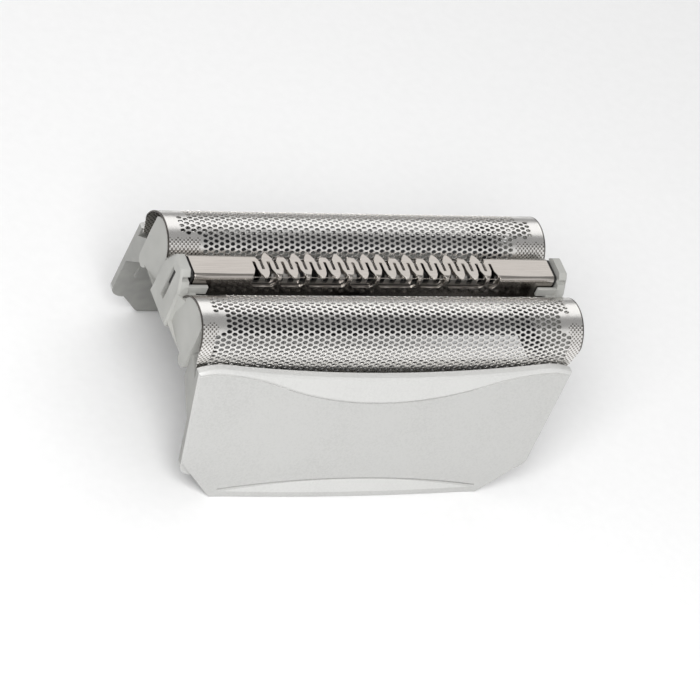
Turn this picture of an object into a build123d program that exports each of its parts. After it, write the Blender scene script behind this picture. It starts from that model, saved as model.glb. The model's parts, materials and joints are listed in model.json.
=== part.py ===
"""Foil head of an electric shaver: two perforated foils and a floating long-hair trimmer in one frame.

Frame: X runs along the foils, -Y is the front panel, +Z is up. The origin is the middle of the
bottom rim that the head stands on. All sizes are in millimetres.
"""
import math
import os

from build123d import *

os.makedirs("parts", exist_ok=True)

# Foils: thin arched sheets with straight flanks
foil_length = 42.0
foil_radius = 3.28
foil_sheet = 0.14
foil_spacing = 11.1
foil_axis_z = 16.7
outer_flank = 3.2
inner_flank = 2.2
flank_end_gap = 0.3
end_lip_outer = 1.8
end_lip_inner = 1.35

# Foil perforation: staggered rows of hexagons
hole_pitch = 4.2
hole_radius = 0.8
hole_row_pitch = 1.5
hole_rows = 4
hole_end_margin = 2.2

# Outer frame: flared front and rear panels, ending a little short of the foils
panel_wall = 0.85
panel_inset = 0.4
panel_flare = 11.2
flare_bend_height = 5.65
shoulder_drop = 1.5
side_draft = 6.8
chamfer_top_z = 4.8
chamfer_run = 4.55
bottom_edge_round = 0.15
rim_land = 0.12
rim_bevel = 0.8
edge_break = 0.2
top_dip_drop = 2.15
top_crest_drop = 1.12
top_crest_inset = 3.1
foil_gap = 0.25
end_wall_inset = 1.8
end_wall = 0.6

# Skirt behind the chamfered panel corners
skirt_bulge = 0.45
skirt_share = 0.6
skirt_step = 0.5

# Bevelled band along the top of each panel, and the lip along its bottom
band_lean = 20.0
band_drop = 5.0
band_arc_rise = 2.07
band_arc_inset = 9.1
band_rise = 3.5
band_inset = 1.6
band_tail_fall = 0.3
crease_groove_width = 0.18
crease_groove_depth = 0.12
lip_lean = 14.0
lip_middle_z = 2.4
lip_drop = 1.25
lip_inset = 0.4
lip_proud = 0.3
lip_bury = 0.03

# End walls of the frame, in heights below the foil axis: bridge, flanges and foil slits
bridge_drop = 2.8
bridge_height = 1.7
bridge_reach = 0.05
flange_drop = 7.4
slit_drop = 2.8
slit_width = 0.63
slit_rise = 0.9

# Ledges inside the panels: the carrier's seat and the catch for the shaver
seat_ledge = 0.9
seat_reach = 0.5
seat_end_gap = 2.3
catch_z = 6.7
catch_height = 1.9
catch_proud = 0.05
catch_end_gap = 0.8

# Foil carriers: plastic rings that the foil flanks are fixed to
carrier_rail = 0.84
carrier_drop = 3.3
carrier_height = 1.6
carrier_end_bar = 1.1
carrier_end_gap = 0.05

# End plates: arches inside the foil ends and a slotted hump between them
arch_shift = 0.28
arch_lift = 0.2
arch_gap = 0.05
valley_gap = 0.15
plate_drop = 3.05
plate_gap = 0.03
leg_inset = 1.5
leg_width = 1.58
nose_drop = 0.45
ramp_height = 0.85
ramp_width = 3.2
wedge_width = 1.1
hump_set_back = 0.6
hump_thick = 1.0
hump_chamfer = 0.2
hump_rise = 3.5
hump_top_half_width = 1.0
hump_ridge_half_width = 1.4
hump_ridge_drop = 0.45
hump_shoulder_half_width = 2.2
hump_shoulder_drop = 2.0
hump_foot_half_width = 2.4
hump_groove_drop = 0.6
hump_groove_height = 0.45
hump_groove_depth = 0.4
guide_slot_width = 0.76
guide_slot_top_rise = 2.4
guide_slot_length = 3.8
guide_tab_thick = 0.35
guide_tab_gap = 0.1
guide_tab_reach = 2.1
guide_tab_rise = 1.1
guide_tab_height = 0.9

# Trimmer comb, in heights above the foil axis: folded channel with a zigzag top
comb_set_back = 1.1
comb_half_width = 1.5
comb_sheet = 0.3
comb_bend = 0.5
comb_top_rise = 3.12
comb_bottom_rise = 0.45
zigzag_pitch = 1.54
zigzag_slots = 18
slot_apex_y = 0.5
slot_width = 0.28
slot_mouth_width = 1.16
window_bottom_rise = 1.7
window_corner = 0.4
tip_rise = 2.7
leaf_sheet = 0.22
leaf_reach = 0.12
leaf_root_width = 1.2
leaf_waist_width = 1.04
leaf_neck_width = 0.66
leaf_tip_width = 0.22
front_posts = (1, 3)
rear_posts = (1, 4)
post_cycle = 5

# Trimmer blade: slotted channel sliding under the comb
blade_set_back = 5.4
blade_sheet = 0.28
blade_corner = 0.3
blade_side_gap = 0.08
blade_top_gap = 0.04
blade_bottom_rise = 1.2
tooth_pitch = 1.24
tooth_gap = 0.64
tooth_gap_count = 22
tooth_root_rise = 1.9

# Trimmer carrier, driver and springs
trimmer_float = 1.2
blade_stroke = 1.1
trimmer_gap = 0.03
bar_end_gap = 0.2
bar_bottom_drop = 0.8
bar_height = 1.6
plug_length = 3.6
plug_bottom_rise = 0.3
end_cap_thick = 0.3
end_cap_inset = 0.1
guide_tongue_length = 0.95
guide_tongue_gap = 0.05
driver_set_back = 7.9
driver_gap = 0.45
driver_height = 0.55
driver_leg_length = 3.2
driver_leg_width = 1.2
driver_leg_drop = 6.3
driver_leg_gap = 0.2
driver_fork_width = 1.4
driver_fork_depth = 2.6
blade_spring_share = 2 / 3
blade_spring_length = 6.0
blade_spring_width = 1.2
blade_spring_sheet = 0.12
lift_spring_radius = 0.95
lift_spring_wire = 0.26
lift_spring_turns = 2.0
lift_spring_gap = 0.03
spring_boss_radius = 0.6
spring_boss_height = 0.6
shelf_drop = 4.4
shelf_thick = 0.7
shelf_half_width = 1.6
shelf_reach = 3.9
shelf_stem = 0.9

# Places along X that several pieces share
foil_end = foil_length / 2
frame_top_half_length = foil_end - panel_inset
end_wall_inner_x = frame_top_half_length - end_wall_inset
plate_inner_x = end_wall_inner_x + end_wall
hump_inner_x = foil_end - hump_set_back
comb_end = foil_end - comb_set_back
lift_spring_x = end_wall_inner_x - (shelf_reach + shelf_stem) / 2

# Places along Y
foil_y = foil_spacing / 2
foil_inside = foil_radius - foil_sheet
foil_outer_face = foil_y + foil_radius
foil_inner_face = foil_y - foil_radius
leg_y = foil_outer_face - leg_inset
slit_y = foil_outer_face - slit_width
bridge_half_width = foil_y + bridge_reach
comb_inside = comb_half_width - comb_sheet
blade_half_width = comb_inside - blade_side_gap

# Heights
shoulder_z = foil_axis_z - shoulder_drop
top_dip_z = foil_axis_z - top_dip_drop
top_crest_z = foil_axis_z - top_crest_drop
section_top_z = top_crest_z + 0.5
band_middle_z = foil_axis_z - band_drop
bridge_bottom_z = foil_axis_z - bridge_drop
bridge_top_z = bridge_bottom_z + bridge_height
flange_z = foil_axis_z - flange_drop
plate_bottom_z = foil_axis_z - plate_drop
slit_tip_z = foil_axis_z - slit_drop
carrier_bottom_z = foil_axis_z - carrier_drop
shelf_top_z = foil_axis_z - shelf_drop
hump_top_z = foil_axis_z + hump_rise
comb_top_z = foil_axis_z + comb_top_rise
comb_bottom_z = foil_axis_z + comb_bottom_rise
window_bottom_z = foil_axis_z + window_bottom_rise
tip_z = foil_axis_z + tip_rise
blade_top_z = comb_top_z - comb_sheet - blade_top_gap
blade_bottom_z = foil_axis_z + blade_bottom_rise
tooth_root_z = foil_axis_z + tooth_root_rise
bar_bottom_z = foil_axis_z - bar_bottom_drop
bar_top_z = bar_bottom_z + bar_height
plug_bottom_z = foil_axis_z + plug_bottom_rise
driver_bottom_z = bar_top_z + driver_gap
driver_top_z = driver_bottom_z + driver_height
driver_leg_z = foil_axis_z - driver_leg_drop
guide_slot_top_z = foil_axis_z + guide_slot_top_rise
guide_tab_z = foil_axis_z + guide_tab_rise

# The flare: a straight slope down from the shoulder, with a bend to upright at the foot
flare = math.radians(panel_flare)
panel_top_y = foil_outer_face + foil_gap + panel_wall
flare_bend_y = panel_top_y + (shoulder_z - flare_bend_height) * math.tan(flare)
base_half_width = flare_bend_y + flare_bend_height * math.tan(flare / 2)
rim_y = base_half_width - bottom_edge_round - rim_land
beyond = 1.0
through = 2 * (foil_length + base_half_width)


def panel_y(z):
    """Outside of the panel at height z, above the bend at its foot."""
    return panel_top_y + (shoulder_z - z) * math.tan(flare)


def foot_y(z):
    """Outside of the panel at height z, on the bend at its foot."""
    return base_half_width - z * z * math.sin(flare) / (2 * flare_bend_height)


def cavity_y(z):
    """Inside of the panel at height z, above the bend at its foot."""
    return panel_y(z) - panel_wall


def side_x(z):
    """Half length of the panel at height z, on its drafted side edge."""
    return frame_top_half_length - (shoulder_z - z) * math.tan(math.radians(side_draft))


def upright(y):
    """Plane that faces the front at distance y behind the middle, with local axes X and Z."""
    return Plane(origin=(0, y, 0), x_dir=(1, 0, 0), z_dir=(0, -1, 0))


def block(x_range, y_range, z_range, mode=Mode.ADD):
    """Box between two corners, joined to or cut from the part being built."""
    low = (x_range[0], y_range[0], z_range[0])
    size = (x_range[1] - low[0], y_range[1] - low[1], z_range[1] - low[2])
    with Locations(low):
        Box(*size, align=(Align.MIN, Align.MIN, Align.MIN), mode=mode)


bottom_half_length = side_x(chamfer_top_z) - chamfer_run

# Cross-section between the insides of the two panels, with a bevel at the rim
with BuildSketch(Plane.YZ) as cavity:
    with BuildLine():
        rim = Polyline(
            (0, -beyond), (rim_y, -beyond), (rim_y, 0), (base_half_width - panel_wall, rim_bevel)
        )
        hollow = TangentArc(rim @ 1, (flare_bend_y - panel_wall, flare_bend_height), tangent=(0, 1))
        Polyline(hollow @ 1, (cavity_y(section_top_z), section_top_z), (0, section_top_z))
        mirror(about=Plane.YZ)
    make_face()

# Panel lip: a lens-shaped swelling under the lower crease, here on the rear panel
lip_half_length = bottom_half_length - lip_inset
lip_end_z = lip_middle_z - lip_drop
lip_direction = (0, math.sin(math.radians(lip_lean)), -math.cos(math.radians(lip_lean)))
with BuildPart() as panel_lip:
    with BuildSketch(upright(foot_y(lip_middle_z))):
        with BuildLine():
            lip_crease = ThreePointArc(
                (-lip_half_length, lip_end_z), (0, lip_middle_z), (lip_half_length, lip_end_z)
            )
            Polyline(
                lip_crease @ 1,
                (lip_half_length, -lip_middle_z),
                (-lip_half_length, -lip_middle_z),
                lip_crease @ 0,
            )
        make_face()
    extrude(amount=2 * lip_middle_z, dir=lip_direction, both=True)
    with BuildSketch(Plane.XY):
        with BuildLine():
            swell = ThreePointArc(
                (-lip_half_length, base_half_width - lip_bury),
                (0, base_half_width + lip_proud),
                (lip_half_length, base_half_width - lip_bury),
            )
            Polyline(swell @ 1, (lip_half_length, rim_y), (-lip_half_length, rim_y), swell @ 0)
        make_face()
    extrude(amount=lip_middle_z, mode=Mode.INTERSECT)
    chamfer(panel_lip.edges().group_by(Axis.Z)[0].sort_by(Axis.Y)[-1], bottom_edge_round)

# Outer frame: the flared cross-section and the panel outline meet in one block, which is then opened
with BuildPart() as outer_frame:
    with BuildSketch(Plane.YZ):
        with BuildLine():
            sole = Line((0, 0), (base_half_width - bottom_edge_round, 0))
            toe = TangentArc(sole @ 1, (base_half_width, bottom_edge_round), tangent=sole % 1)
            bend = TangentArc(toe @ 1, (flare_bend_y, flare_bend_height), tangent=toe % 1)
            Polyline(bend @ 1, (panel_y(section_top_z), section_top_z), (0, section_top_z))
            mirror(about=Plane.YZ)
        make_face()
    extrude(amount=through, both=True)

    top_crest_half_length = frame_top_half_length - top_crest_inset
    chamfer_top = (side_x(chamfer_top_z), chamfer_top_z)
    with BuildSketch(Plane.XZ):
        with BuildLine():
            dip = ThreePointArc(
                (-top_crest_half_length, top_crest_z), (0, top_dip_z), (top_crest_half_length, top_crest_z)
            )
            crest = TangentArc(dip @ 1, (frame_top_half_length, shoulder_z), tangent=dip % 1)
            edge = Line(crest @ 1, (side_x(chamfer_top_z - skirt_bulge), chamfer_top_z - skirt_bulge))
            ear = (bottom_half_length + skirt_share * chamfer_run, skirt_share * chamfer_top_z)
            skirt = TangentArc(edge @ 1, ear, tangent=edge % 1)
            rim = Polyline(skirt @ 1, (bottom_half_length, 0), (0, 0))
            for stretch in (crest, edge, skirt, rim):
                mirror(stretch, about=Plane.YZ)
        make_face()
    extrude(amount=through, both=True, mode=Mode.INTERSECT)

    # Broken edges along the top and the sides of both panels
    panel_faces = outer_frame.faces().filter_by(lambda face: abs(face.normal_at().Y) > 0.9)
    upper_edges = panel_faces.edges().filter_by(lambda line: line.center().Z > chamfer_top_z)
    chamfer(upper_edges.filter_by(Axis.X, reverse=True), edge_break)

    # Outer skin of each corner, cut back to a straight chamfer
    for side in (-1, 1):
        with BuildSketch(upright(side * (base_half_width - skirt_step))):
            with BuildLine():
                Polyline(
                    (bottom_half_length, 0),
                    chamfer_top,
                    (foil_length, chamfer_top_z),
                    (foil_length, -beyond),
                    (bottom_half_length, -beyond),
                    close=True,
                )
            make_face()
            mirror(about=Plane.YZ)
        extrude(amount=panel_wall + beyond, dir=(0, side, 0), mode=Mode.SUBTRACT)

    # Cavity between the panels, open at the top and the bottom
    extrude(to_extrude=cavity.sketch, amount=end_wall_inner_x, both=True, mode=Mode.SUBTRACT)

    # End openings under the bridges and the slanted flanges
    with BuildSketch(Plane.YZ):
        add(cavity.sketch_local)
        with BuildLine():
            Polyline(
                (0, bridge_bottom_z),
                (bridge_half_width, bridge_bottom_z),
                (cavity_y(flange_z), flange_z),
                (cavity_y(flange_z), section_top_z + beyond),
                (0, section_top_z + beyond),
            )
            mirror(about=Plane.YZ)
        make_face(mode=Mode.SUBTRACT)
    extrude(amount=through, both=True, mode=Mode.SUBTRACT)

    # Room above the bridges and flanges for the foil ends, narrowing to a slit beside each panel
    with BuildSketch(Plane.YZ):
        with BuildLine():
            Polyline(
                (0, bridge_top_z),
                (leg_y, bridge_top_z),
                (slit_y, slit_tip_z + slit_rise),
                (cavity_y(slit_tip_z), slit_tip_z),
                (cavity_y(section_top_z), section_top_z),
                (0, section_top_z),
            )
            mirror(about=Plane.YZ)
        make_face()
    extrude(amount=through, both=True, mode=Mode.SUBTRACT)

    # Seats for the end plates
    seat_half_width = leg_y + plate_gap
    for end in (-1, 1):
        outside = sorted((end * plate_inner_x, end * through))
        block(outside, (-seat_half_width, seat_half_width), (flange_z, through), Mode.SUBTRACT)

    # Bevelled band above the upper crease, leaning in from the panel's face
    band_y = panel_y(band_middle_z)
    lean = math.radians(band_lean)
    band_share = 1 - math.tan(flare) / math.tan(lean)
    band_arc_x = frame_top_half_length - band_arc_inset
    band_end_x = frame_top_half_length - band_inset
    arc_end_z = band_middle_z + band_share * band_arc_rise
    band_end_z = band_middle_z + band_share * band_rise
    for side in (-1, 1):
        with BuildSketch(upright(side * band_y)):
            with BuildLine():
                swoosh = ThreePointArc((-band_arc_x, arc_end_z), (0, band_middle_z), (band_arc_x, arc_end_z))
                tail = TangentArc(swoosh @ 1, (band_end_x, band_end_z), tangent=swoosh % 1)
                cap = Polyline(
                    tail @ 1,
                    (frame_top_half_length, band_end_z - band_share * band_tail_fall),
                    (frame_top_half_length, section_top_z),
                    (0, section_top_z),
                )
                mirror(tail, about=Plane.YZ)
                mirror(cap, about=Plane.YZ)
            make_face()
        extrude(
            amount=section_top_z - band_middle_z,
            dir=(0, -side * math.sin(lean), math.cos(lean)),
            both=True,
            mode=Mode.SUBTRACT,
        )

    # Fine groove along the upper crease, drawn on the slope of the panel's face
    slope = math.cos(flare)
    arc_end = (band_arc_x, band_arc_rise / slope)
    band_end = (band_end_x, band_rise / slope)
    tail_end = (frame_top_half_length, (band_rise - band_tail_fall) / slope)
    for side in (-1, 1):
        face = Plane(
            origin=(0, side * band_y, band_middle_z),
            x_dir=(-side, 0, 0),
            z_dir=(0, side * slope, math.sin(flare)),
        )
        with BuildSketch(face):
            with BuildLine():
                crease = ThreePointArc((-arc_end[0], arc_end[1]), (0, 0), arc_end)
                run_out = TangentArc(crease @ 1, band_end, tangent=crease % 1)
                corner_line = Line(band_end, tail_end)
                mirror(run_out, about=Plane.YZ)
                mirror(corner_line, about=Plane.YZ)
            trace(line_width=crease_groove_width)
        extrude(amount=-crease_groove_depth, mode=Mode.SUBTRACT)

    add(panel_lip.part)
    add(mirror(panel_lip.part, about=Plane.XZ, mode=Mode.PRIVATE))

    # The same groove along the lower crease, above the lip
    for side in (-1, 1):
        with BuildSketch(upright(side * (foot_y(lip_middle_z) - crease_groove_depth))):
            with BuildLine():
                ThreePointArc((-lip_half_length, lip_end_z), (0, lip_middle_z), (lip_half_length, lip_end_z))
            trace(line_width=crease_groove_width)
        extrude(amount=beyond, dir=(0, side, 0), mode=Mode.SUBTRACT)

    # Ledges along the inside of both panels: the carrier's seat and the catch for the shaver
    for side in (-1, 1):
        seat_x = end_wall_inner_x - seat_end_gap
        seat_y = foil_y + foil_inside - seat_reach
        seat = sorted((side * seat_y, side * (cavity_y(carrier_bottom_z) + panel_wall / 2)))
        block((-seat_x, seat_x), seat, (carrier_bottom_z - seat_ledge, carrier_bottom_z))
        catch_x = end_wall_inner_x - catch_end_gap
        catch_top_z = catch_z + catch_height
        catch_y = cavity_y(catch_top_z) - catch_proud
        catch = sorted((side * catch_y, side * (cavity_y(catch_z) + panel_wall / 2)))
        block((-catch_x, catch_x), catch, (catch_z, catch_top_z))

    # Shelves under the trimmer's ends, each with a boss that centres its lift spring
    for end in (-1, 1):
        shelf = sorted((end * (end_wall_inner_x - shelf_reach), end * end_wall_inner_x))
        stem = sorted((end * (end_wall_inner_x - shelf_stem), end * (end_wall_inner_x + end_wall / 2)))
        shelf_width = (-shelf_half_width, shelf_half_width)
        block(shelf, shelf_width, (shelf_top_z - shelf_thick, shelf_top_z))
        block(stem, shelf_width, (shelf_top_z - shelf_thick, bridge_top_z))
        with BuildSketch(Plane.XY.offset(shelf_top_z)):
            with Locations((end * lift_spring_x, 0)):
                RegularPolygon(spring_boss_radius, 6)
        extrude(amount=spring_boss_height)

# Rear foil: arched sheet, its flanks cut back at the ends, perforated in staggered rows
with BuildPart() as rear_foil:
    with BuildSketch(Plane.YZ):
        with BuildLine():
            inner_leg = Line((foil_inner_face, foil_axis_z - inner_flank), (foil_inner_face, foil_axis_z))
            crown = ThreePointArc(
                inner_leg @ 1, (foil_y, foil_axis_z + foil_radius), (foil_outer_face, foil_axis_z)
            )
            outer_leg = Polyline(
                crown @ 1,
                (foil_outer_face, foil_axis_z - outer_flank),
                (foil_outer_face - foil_sheet, foil_axis_z - outer_flank),
                (foil_outer_face - foil_sheet, foil_axis_z),
            )
            vault = ThreePointArc(
                outer_leg @ 1,
                (foil_y, foil_axis_z + foil_inside),
                (foil_inner_face + foil_sheet, foil_axis_z),
            )
            Polyline(
                vault @ 1,
                (foil_inner_face + foil_sheet, foil_axis_z - inner_flank),
                (foil_inner_face, foil_axis_z - inner_flank),
            )
        make_face()
    extrude(amount=foil_end, both=True)
    for end in (-1, 1):
        tip = sorted((end * (end_wall_inner_x - flank_end_gap), end * foil_length))
        below = foil_axis_z - outer_flank - beyond
        inner_side = (foil_inner_face - beyond, foil_y)
        outer_side = (foil_y, foil_outer_face + beyond)
        block(tip, inner_side, (below, foil_axis_z + end_lip_inner), Mode.SUBTRACT)
        block(tip, outer_side, (below, foil_axis_z - end_lip_outer), Mode.SUBTRACT)
    columns = int((foil_length - 2 * hole_end_margin) / hole_pitch)
    for row in range(hole_rows):
        angle = (row - (hole_rows - 1) / 2) * hole_row_pitch / foil_radius
        outward = (0, math.sin(angle), math.cos(angle))
        row_plane = Plane(origin=(0, foil_y, foil_axis_z), x_dir=(1, 0, 0), z_dir=outward)
        with BuildSketch(row_plane.offset(foil_inside - foil_sheet)):
            with GridLocations(hole_pitch, hole_pitch, columns + row % 2, 1):
                RegularPolygon(hole_radius, 6)
        extrude(amount=3 * foil_sheet, mode=Mode.SUBTRACT)

# Rear foil carrier: a plastic ring between the flanks, seated on the frame's ledge
with BuildPart() as rear_foil_carrier:
    ring_half_length = end_wall_inner_x - carrier_end_gap
    ring_width = 2 * foil_inside
    with BuildSketch(Plane.XY.offset(carrier_bottom_z)):
        with Locations((0, foil_y)):
            Rectangle(2 * ring_half_length, ring_width)
            Rectangle(
                2 * (ring_half_length - carrier_end_bar), ring_width - 2 * carrier_rail, mode=Mode.SUBTRACT
            )
    extrude(amount=carrier_height)

# Right end plate: two arches inside the foil ends, a leg below each, and a slotted hump between them
with BuildPart() as end_plate_right:
    arch_y = foil_y - arch_shift
    arch_z = foil_axis_z + arch_lift
    arch_radius = foil_inside - math.hypot(arch_shift, arch_lift) - arch_gap
    valley_z = foil_axis_z + end_lip_inner - valley_gap
    arch_start = arch_y - math.sqrt(arch_radius**2 - (valley_z - arch_z) ** 2)
    shoulder = arch_radius * math.sqrt(0.5)
    plate_outer_x = side_x(foil_axis_z)
    with BuildSketch(Plane.YZ.offset(plate_inner_x)):
        with BuildLine():
            valley = Line((0, valley_z), (arch_start, valley_z))
            arch = ThreePointArc(
                valley @ 1, (arch_y, arch_z + arch_radius), (arch_y + shoulder, arch_z + shoulder)
            )
            leg = Polyline(arch @ 1, (leg_y, arch_z), (leg_y, plate_bottom_z))
            nose = TangentArc(
                leg @ 1, (leg_y - leg_width, plate_bottom_z - nose_drop), tangent=(0, -1)
            )
            Polyline(nose @ 1, (leg_y - leg_width, plate_bottom_z), (0, plate_bottom_z))
            mirror(about=Plane.YZ)
        make_face()
    extrude(amount=plate_outer_x - plate_inner_x)
    with BuildSketch(Plane.YZ.offset(hump_inner_x)):
        with BuildLine():
            Polyline(
                (0, hump_top_z),
                (hump_top_half_width, hump_top_z),
                (hump_ridge_half_width, hump_top_z - hump_ridge_drop),
                (hump_shoulder_half_width, hump_top_z - hump_shoulder_drop),
                (hump_foot_half_width, plate_bottom_z),
                (0, plate_bottom_z),
            )
            mirror(about=Plane.YZ)
        make_face()
    extrude(amount=hump_thick)
    chamfer(end_plate_right.faces().sort_by(Axis.X)[-1].edges(), hump_chamfer)
    # Beside the hump a ramp runs out along the lower edge, and a thin web under the valley
    ramp_top_z = plate_bottom_z + ramp_height
    for side in (-1, 1):
        root_y = side * (hump_shoulder_half_width - hump_chamfer)
        for low_z, high_z, flat_z, width in (
            (plate_bottom_z, ramp_top_z, plate_bottom_z, ramp_width),
            (ramp_top_z, valley_z, valley_z, wedge_width),
        ):
            with BuildSketch(Plane.YZ.offset(plate_outer_x)) as foot:
                with BuildLine():
                    Polyline(
                        (root_y, low_z), (root_y, high_z), (root_y + side * width, flat_z), close=True
                    )
                make_face()
            loft(sections=[foot.sketch.face(), Vertex(hump_inner_x + hump_thick, root_y, high_z)])
    # Room for the trimmer's end cap behind the hump, and the slot that guides its tongue
    cap_room = comb_half_width + guide_tab_gap
    cap_floor = plug_bottom_z - trimmer_float - guide_tab_gap
    cap_x_range = (plate_inner_x - beyond, hump_inner_x)
    block(cap_x_range, (-cap_room, cap_room), (cap_floor, hump_top_z), Mode.SUBTRACT)
    slot_half = guide_slot_width / 2
    slot_z_range = (guide_slot_top_z - guide_slot_length, guide_slot_top_z)
    block((plate_inner_x, foil_length), (-slot_half, slot_half), slot_z_range, Mode.SUBTRACT)
    groove_top_z = hump_top_z - hump_groove_drop
    for side in (-1, 1):
        groove = sorted((side * hump_shoulder_half_width, side * (cap_room - hump_groove_depth)))
        groove_x_range = (hump_inner_x - beyond, hump_inner_x + hump_thick - hump_chamfer)
        block(groove_x_range, groove, (groove_top_z - hump_groove_height, groove_top_z), Mode.SUBTRACT)
        tab = sorted((side * cap_room, side * (cap_room + guide_tab_thick)))
        tab_x_range = (hump_inner_x - guide_tab_reach, hump_inner_x + guide_tab_thick)
        block(tab_x_range, tab, (guide_tab_z, guide_tab_z + guide_tab_height))

# Trimmer comb: channel folded from steel sheet
with BuildPart() as trimmer_comb:
    with BuildSketch(Plane.YZ) as comb_section:
        with Locations((0, comb_top_z)):
            Rectangle(2 * comb_half_width, comb_top_z - comb_bottom_z, align=(Align.CENTER, Align.MAX))
        fillet(comb_section.vertices().group_by(Axis.Y)[-1], comb_bend)
        with BuildSketch(mode=Mode.SUBTRACT) as comb_hollow:
            with Locations((0, comb_top_z - comb_sheet)):
                Rectangle(2 * comb_inside, comb_top_z - comb_bottom_z, align=(Align.CENTER, Align.MAX))
            chamfer(comb_hollow.vertices().group_by(Axis.Y)[-1], comb_bend - comb_sheet)
    extrude(amount=comb_end, both=True)

    # Slots from the front and the rear by turns, so that the top is one zigzag band
    front_slots = [(i - (zigzag_slots - 1) / 2) * zigzag_pitch for i in range(zigzag_slots)]
    rear_slots = [x + zigzag_pitch / 2 for x in front_slots[:-1]]
    mouth_y = comb_half_width + comb_sheet
    narrow = slot_width / 2
    wide = slot_mouth_width / 2
    with BuildSketch(Plane.XY.offset(comb_top_z + beyond)):
        for side, slots in ((-1, front_slots), (1, rear_slots)):
            for x in slots:
                with BuildLine():
                    Polyline(
                        (x - wide, side * mouth_y),
                        (x - wide, side * comb_half_width),
                        (x - narrow, side * slot_apex_y),
                        (x - narrow, -side * slot_apex_y),
                        (x + narrow, -side * slot_apex_y),
                        (x + narrow, side * slot_apex_y),
                        (x + wide, side * comb_half_width),
                        (x + wide, side * mouth_y),
                        close=True,
                    )
                make_face()
    extrude(amount=-(comb_top_z + beyond - tip_z), mode=Mode.SUBTRACT)

    # Windows in the two walls, from one post to the next, with cut corners at their feet
    front_loops = rear_slots
    rear_loops = front_slots[1:-1]
    zone_end = front_slots[-1] + wide
    half_post = (zigzag_pitch - slot_mouth_width) / 2
    for side, loops, posts in ((-1, front_loops, front_posts), (1, rear_loops, rear_posts)):
        post_places = [x for i, x in enumerate(loops) if i % post_cycle in posts]
        starts = [-zone_end] + [x + half_post for x in post_places]
        stops = [x - half_post for x in post_places] + [zone_end]
        with BuildSketch(upright(side * mouth_y)) as windows:
            for start, stop in zip(starts, stops):
                with Locations(((start + stop) / 2, window_bottom_z)):
                    Rectangle(stop - start, comb_top_z - window_bottom_z, align=(Align.CENTER, Align.MIN))
            chamfer(windows.vertices().group_by(Axis.Y)[0], window_corner)
        extrude(amount=2 * comb_sheet, dir=(0, -side, 0), mode=Mode.SUBTRACT)

        # The loops that no post holds end in flat leaf-shaped tips
        leaf_tip_y = comb_half_width + leaf_reach
        leaf_outline = (
            (leaf_root_width, slot_apex_y),
            (leaf_waist_width, comb_half_width - comb_bend),
            (leaf_neck_width, comb_half_width - comb_bend / 3),
            (leaf_tip_width, leaf_tip_y),
        )
        with BuildSketch(Plane.XY.offset(comb_top_z - leaf_sheet)):
            for x in [x for x in loops if x not in post_places]:
                right_edge = [(x + width / 2, side * y) for width, y in leaf_outline]
                left_edge = [(x - width / 2, side * y) for width, y in reversed(leaf_outline)]
                with BuildLine():
                    Polyline(*right_edge, *left_edge, close=True)
                make_face()
        extrude(amount=leaf_sheet)

# Trimmer blade: channel with teeth, sliding along X inside the comb
with BuildPart() as trimmer_blade:
    with BuildSketch(Plane.YZ) as blade_section:
        with Locations((0, blade_top_z)):
            Rectangle(2 * blade_half_width, blade_top_z - blade_bottom_z, align=(Align.CENTER, Align.MAX))
        chamfer(blade_section.vertices().group_by(Axis.Y)[-1], blade_corner)
        with Locations((0, blade_top_z - blade_sheet)):
            Rectangle(
                2 * (blade_half_width - blade_sheet),
                blade_top_z - blade_bottom_z,
                align=(Align.CENTER, Align.MAX),
                mode=Mode.SUBTRACT,
            )
    extrude(amount=comb_end - blade_set_back, both=True)
    with BuildSketch(Plane.XY.offset(tooth_root_z)):
        with GridLocations(tooth_pitch, tooth_pitch, tooth_gap_count, 1):
            Rectangle(tooth_gap, 2 * comb_half_width)
    extrude(amount=comb_top_z - tooth_root_z, mode=Mode.SUBTRACT)

# Blade driver: plastic bar held between the blade's walls, with a forked leg for the drive pin
with BuildPart() as blade_driver:
    driver_half_length = comb_end - driver_set_back
    driver_half_width = blade_half_width - blade_sheet - trimmer_gap
    driver_width = (-driver_half_width, driver_half_width)
    block((-driver_half_length, driver_half_length), driver_width, (driver_bottom_z, driver_top_z))
    leg_half_length = driver_leg_length / 2
    leg_width = (-driver_leg_width / 2, driver_leg_width / 2)
    block((-leg_half_length, leg_half_length), leg_width, (driver_leg_z, driver_bottom_z))
    with BuildSketch(upright(0)):
        with Locations((0, driver_leg_z)):
            fork = Rectangle(driver_fork_width, 2 * driver_fork_depth)
        fillet(fork.vertices().group_by(Axis.Y)[-1], driver_fork_width / 3)
    extrude(amount=driver_leg_width, both=True, mode=Mode.SUBTRACT)

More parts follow.
